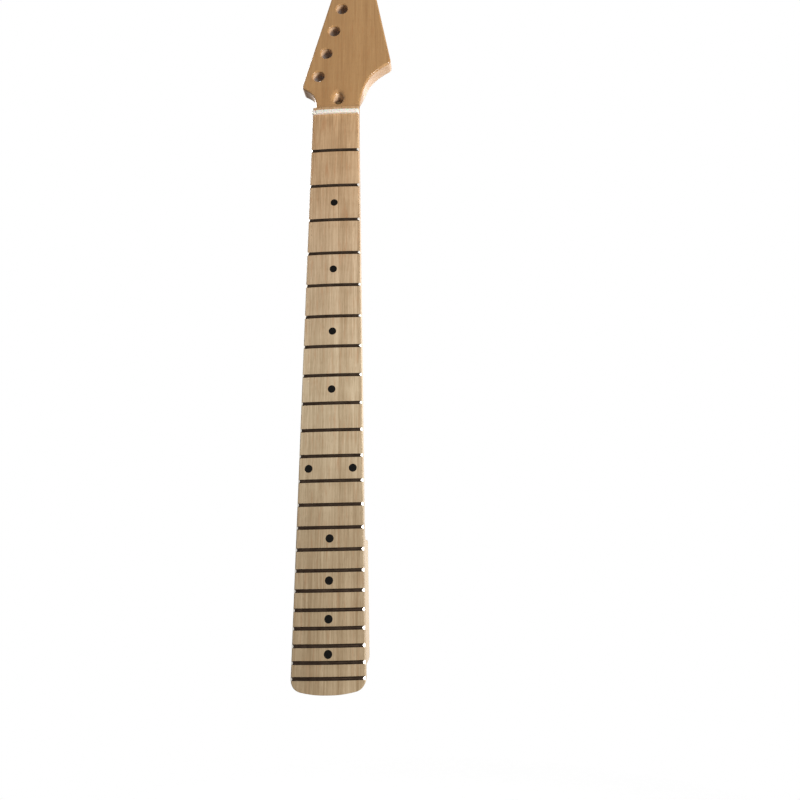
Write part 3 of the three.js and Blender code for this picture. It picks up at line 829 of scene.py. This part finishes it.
def face_bar(name, below, out, radius, low, high):
    """A round bar square to the arched face, reaching from low to high below it."""
    turn = math.asin(out / board_radius)
    reach = board_radius - (low + high) / 2
    at = (reach * math.sin(turn), crown + board_radius - reach * math.cos(turn), nut_z - below)
    return bar(name, radius, high - low, at, (math.pi / 2, turn, 0))


def side_dot_bar(name, below, radius, low, high):
    """A small round bar square to the bass edge, reaching from low to high inside it."""
    edge = half_width(below)
    at = (-edge + (low + high) / 2, board_height(edge) + side_dot_below_edge, nut_z - below)
    return bar(name, radius, high - low, at, (0, math.pi / 2, 0), sides=24)


face_dots = list(dot_places(("bass", "treble"), octave_dot_spacing))
side_dots = [(label, below + off)
             for label, below, off in dot_places(("upper", "lower"), side_dot_pair_spacing)]
nut_thickness = 4
nut_slot_depth = 3
tang_width = 0.6
tang_depth = 1.8
slot_width = 0.7
drill_start = -5
snug = 0.02
board = wrap_sheet("fretboard_slab", [board_ring(up) for up in board_rows()])
cuts = [saw_cut("nut_slot", crown + nut_slot_depth, nut_z - snug, nut_z + nut_thickness + snug)]
for number in range(1, fret_count + 1):
    below = fret_below_nut(number)
    slot_floor = board_height(half_width(below)) + tang_depth + glue_gap
    cuts.append(saw_cut("fret_slot", slot_floor, nut_z - below - slot_width / 2,
                        nut_z - below + slot_width / 2))
for _, below, out in face_dots:
    cuts.append(face_bar("dot_drill", below, out, dot_radius + snug, drill_start, dot_depth + glue_gap))
for _, below in side_dots:
    cuts.append(side_dot_bar("side_dot_drill", below, side_dot_radius + snug, drill_start,
                             side_dot_depth + glue_gap))
carve(board, cuts)
polish(board)
dress(board, board_maple, "neck_body", "fretboard")


# Frets: nickel-silver wire with a low round crown over a thin tang, hammered into its slot. The ends are filed
# to a slant with the board's edges and keep the metal's bright colour, while the crowns' colour is near black:
# a painted dark reflection, not the metal's own colour.
crown_width = 2.7
crown_height = 1.2
crown_sink = 0.04
end_angle = math.radians(52)
filed_slope = 0.35
fret_finish, place, shader = start_finish("fret_wire_metal")
scratches = noise(stretched(place, (0.15, 1, 1)), 3000, 3)
crown_blotches = noise(place, 160, 3)
# The crowns' near-black colour is a painted dark reflection, blotched by noise.
painted_dark_reflection = shades(crown_blotches * 0.6 + scratches * 0.4, [(0.3, (0.014, 0.008, 0.005)), (0.7, (0.05, 0.034, 0.024))])
set_surface(shader, {"Base Color": painted_dark_reflection, "Roughness": scratches * 0.2 + 0.25}, {"Metallic": 1.0})
filed_finish, place, shader = start_finish("filed_wire_metal")
file_marks = noise(stretched(place, (1, 0.15, 1)), 3000, 3)
bright = shades(file_marks, [(0.3, (0.44, 0.41, 0.37)), (0.7, (0.66, 0.63, 0.58))])
set_surface(shader, {"Base Color": bright, "Roughness": file_marks * 0.2 + 0.4}, {"Metallic": 1.0})


def fret_wire(number):
    """One fret: its T-shaped section laid along the arched face, then closed at its two ends."""
    below = fret_below_nut(number)
    half = half_width(below) - snug
    section = [(-crown_width / 2 * math.cos(angle), crown_height * math.sin(angle) + snug)
               for angle in spread(0, math.pi, count=15)]
    tang = ((1, 0), (1, -tang_depth), (-1, -tang_depth), (-1, 0))
    section += [(side * tang_width / 2, height) for side, height in tang]
    rings = []
    for share in spread(-1, 1, count=27):
        ring = []
        for z, height in section:
            x = share * (half - max(height, 0) * math.tan(end_angle))
            ring.append((x, board_height(x) + crown_sink - height, nut_z - below + z))
        rings.append(ring)
    fret = wrap_sheet(f"fret_crown_{number:02d}", rings)
    bpy.ops.object.mode_set(mode="EDIT")
    bpy.ops.mesh.select_all(action="DESELECT")
    bpy.ops.mesh.select_non_manifold()
    bpy.ops.mesh.edge_face_add()
    bpy.ops.mesh.select_all(action="SELECT")
    bpy.ops.mesh.quads_convert_to_tris()
    bpy.ops.mesh.normals_make_consistent(inside=False)
    bpy.ops.object.mode_set(mode="OBJECT")
    polish(fret, 40)
    dress(fret, fret_finish, "neck_body", f"fret_{number:02d}")
    fret.data.materials.append(filed_finish)
    for face in fret.data.polygons:
        face.material_index = 1 if abs(face.normal.x) > filed_slope else 0


for number in range(1, fret_count + 1):
    fret_wire(number)


# Dots: black discs pressed into drilled seats and sanded flush with the face, one at the odd frets and a pair
# at the octave, and small ones on the bass edge that the player sees.
face_dot_soft = 0.12
side_dot_soft = 0.1
dot_finish, place, shader = start_finish("dot_black_plastic")
clouds = noise(place, 900, 3)
dot_colour = shades(clouds, [(0.3, (0.002, 0.002, 0.002)), (0.7, (0.007, 0.006, 0.005))])
set_surface(shader, {"Base Color": dot_colour, "Roughness": clouds * 0.2 + 0.25},
            {"Specular IOR Level": 0.06, "Coat Weight": 0.0})


def soften(piece, width, segments=2, angle=40):
    """Rounds every edge that is sharper than the angle."""
    modifier = piece.modifiers.new("soften", "BEVEL")
    modifier.width = width * mm
    modifier.segments = segments
    modifier.limit_method = "ANGLE"
    modifier.angle_limit = math.radians(angle)
    choose(piece)
    bpy.ops.object.modifier_apply(modifier="soften")


def finish_dot(dot, soft, node):
    soften(dot, soft)
    polish(dot)
    dress(dot, dot_finish, "neck_body", node)


for label, below, out in face_dots:
    dot = face_bar(f"face_dot_{label}", below, out, dot_radius, -snug, dot_depth)
    finish_dot(dot, face_dot_soft, f"dot_{label}")
for label, below in side_dots:
    dot = side_dot_bar(f"edge_dot_{label}", below, side_dot_radius, -snug, side_dot_depth)
    finish_dot(dot, side_dot_soft, f"side_dot_{label}")


# Nut: a strip of bone glued in its slot across the board, its top arched with the face and rounded towards the
# headstock, with a narrow slot filed for each string.
nut_above_board = 1.9
nut_below_slot = 0.05
nut_edge_round = 0.35
arched_band = 1.2
back_fall = 1.1
back_fall_start_share = 0.35
string_span = 35
string_slot_radii = [0.62, 0.52, 0.42, 0.32, 0.25, 0.2]
string_slot_sink_share = 0.4
string_slot_tilt = -0.12
file_length = 12
bone, place, shader = start_finish("nut_bone")
bone_grain = noise(stretched(place, (0.2, 1, 1)), 1500, 3)
bone_colour = shades(bone_grain, [(0.3, (0.84, 0.77, 0.66)), (0.65, (0.93, 0.88, 0.8))])
set_surface(shader, {"Base Color": bone_colour, "Roughness": bone_grain * 0.15 + 0.28,
                     "Normal": bump(bone_grain, 0.05)},
            {"Subsurface Weight": 0.15, "Subsurface Scale": 1 * mm, "Coat Weight": 0.3,
             "Coat Roughness": 0.15})
bone_nut = block("string_nut", (-half_at_nut, crown - nut_above_board, nut_z),
                 (half_at_nut, crown + nut_slot_depth - nut_below_slot, nut_z + nut_thickness))
bpy.ops.object.mode_set(mode="EDIT")
bpy.ops.mesh.select_all(action="SELECT")
bpy.ops.mesh.subdivide(number_cuts=23)
bpy.ops.object.mode_set(mode="OBJECT")
for vertex in bone_nut.data.vertices:
    x, y, z = (value / mm for value in vertex.co)
    raised = (crown + arched_band - y) / (nut_above_board + arched_band)
    if raised > 0:
        back = (z - nut_z) / nut_thickness
        fall = back_fall * raised * max(0, back - back_fall_start_share) ** 2
        y += (board_height(x) - crown) * raised + fall
        vertex.co.y = y * mm
soften(bone_nut, nut_edge_round, segments=3, angle=50)
string_files = []
for x, radius in zip(spread(-string_span / 2, string_span / 2, len(string_slot_radii)), string_slot_radii):
    y = board_height(x) - nut_above_board + radius * string_slot_sink_share
    string_files.append(bar("string_file", radius, file_length, (x, y, nut_z + nut_thickness / 2),
                            (string_slot_tilt, 0, 0), sides=20))
carve(bone_nut, string_files)
polish(bone_nut, 40)
dress(bone_nut, bone, "neck_body", "nut")


# Truss rod: a steel rod under the stripe, held by a steel anchor at the heel. At the headstock it ends in a
# steel washer and a round brass nut with a hexagonal socket, which a key turns to set the neck's bow.
adjuster_radius = 3.5
adjuster_length = 9
adjuster_foot = 12.6
adjuster_soft = 0.4
thread_radius = 2.55
thread_depth = 4.5
socket_size = 4
socket_depth = 3.5


def turned_metal(name, dark, pale, roughness):
    """Metal off a lathe: fine rings round its length and cloudy stains."""
    finish, place, shader = start_finish(name)
    lines = noise(stretched(place, (0.1, 0.1, 1)), 4000, 2)
    stains = noise(place, 220, 4)
    colour = shades(lines * 0.4 + stains * 0.6, [(0.3, dark), (0.7, pale)])
    set_surface(shader, {"Base Color": colour, "Roughness": lines * 0.2 + roughness,
                         "Normal": bump(lines, 0.15, 0.05)}, {"Metallic": 1.0})
    return finish


rod_steel = turned_metal("rod_steel_metal", (0.18, 0.18, 0.19), (0.4, 0.4, 0.42), 0.28)
# The adjusting nut's colour is kept far darker than brass: painted shade for the key pocket it sits in.
dark_painted_brass = turned_metal("dark_painted_brass_metal", (0.07, 0.042, 0.02), (0.2, 0.13, 0.06), 0.4)
for name in ("truss_rod", "truss_rod_anchor", "truss_rod_washer"):
    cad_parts[name].data.materials.clear()
    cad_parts[name].data.materials.append(rod_steel)
adjuster_end = nut_z + adjuster_foot
adjuster_top = adjuster_end + adjuster_length
adjuster = bar("rod_adjuster", adjuster_radius, adjuster_length,
               (0, rod_y, adjuster_top - adjuster_length / 2), sides=48)
soften(adjuster, adjuster_soft, segments=3)
hex_socket = bar("hex_socket", socket_size / math.sqrt(3), 2 * socket_depth,
                 (0, rod_y, adjuster_top), sides=6)
thread = bar("thread", thread_radius, 2 * thread_depth, (0, rod_y, adjuster_end), sides=32)
carve(adjuster, [hex_socket, thread])
polish(adjuster)
dress(adjuster, dark_painted_brass, "adjuster", "adjusting_nut")


# Studio: a pale floor well below the hanging neck, and white surroundings. The main lamp stands low in front
# to the right and the second high behind to the left. Two weak ones fill the front and light the right side's
# back edge.
floor_below = 0.45
floor_reach = 1.1
fade_start_share = 0.25
fade_end_share = 0.95
seen_paper = (0.93, 0.93, 0.92, 1)
lighting_paper = (0.12, 0.12, 0.12, 1)
ambient = 0.13


def seen_rays(wire):
    """1 for the rays that show white surroundings: the camera's own, mirrored ones and those through glass."""
    rays = ("Is Camera Ray", "Is Glossy Ray", "Is Transmission Ray")
    camera_ray, glossy_ray, glass_ray = [wire.node("ShaderNodeLightPath", output=ray) for ray in rays]
    return wire.math("MINIMUM", camera_ray + glossy_ray + glass_ray, 1.0)


bpy.ops.object.select_all(action="DESELECT")
bpy.ops.mesh.primitive_circle_add(vertices=96, radius=floor_reach, fill_type="NGON", location=(0, 0, 0))
floor = bpy.context.object
floor.name = "floor"
for vertex in floor.data.vertices:
    vertex.co.z = -floor_below
floor_finish, place, shader = start_finish("floor_paper")
distance = place.node("ShaderNodeVectorMath", {"operation": "LENGTH"}, {0: stretched(place, (1, 1, 0))},
                      output="Value")
fade = remap(distance, floor_reach * fade_start_share, floor_reach * fade_end_share, 1, 0)
paper = place.mix(seen_rays(place), lighting_paper, seen_paper)
set_surface(shader, {"Alpha": fade, "Base Color": paper}, {"Roughness": 0.9})
floor.data.materials.append(floor_finish)


def soft_lamp(name, place, target, width, height, power):
    lamp = bpy.data.objects.new(name, bpy.data.lights.new(name, "AREA"))
    lamp.data.shape = "ELLIPSE"
    lamp.data.size = width
    lamp.data.size_y = height
    lamp.data.energy = power
    bpy.context.collection.objects.link(lamp)
    lamp.location = place
    direction = [b - a for a, b in zip(place, target)]
    flat = math.hypot(direction[0], direction[1])
    lamp.rotation_euler = (math.atan2(flat, -direction[2]), 0, math.atan2(-direction[0], direction[1]))


soft_lamp("key_lamp", (1.75, -1.15, -0.15), (0, 0, 0.35), width=0.75, height=0.75, power=63)
soft_lamp("fill_lamp", (0.2, -1.4, 0.3), (0, 0, 0.3), width=0.9, height=0.9, power=3)
soft_lamp("back_lamp", (-1.2, 0.6, 1.3), (0, 0, 0.3), width=0.9, height=0.9, power=44)
soft_lamp("strip_lamp", (0.6, 0.95, 0.45), (0, 0, 0.45), width=0.45, height=1.2, power=7)

world = bpy.data.worlds.new("studio")
bpy.context.scene.world = world
world.use_nodes = True
background = world.node_tree.nodes["Background"]
brightness = seen_rays(Wire(world.node_tree)) * (1 - ambient) + ambient
world.node_tree.links.new(brightness.socket, background.inputs["Strength"])
background.inputs["Color"].default_value = (1, 1, 1, 1)
bpy.context.scene.view_settings.view_transform = "Standard"
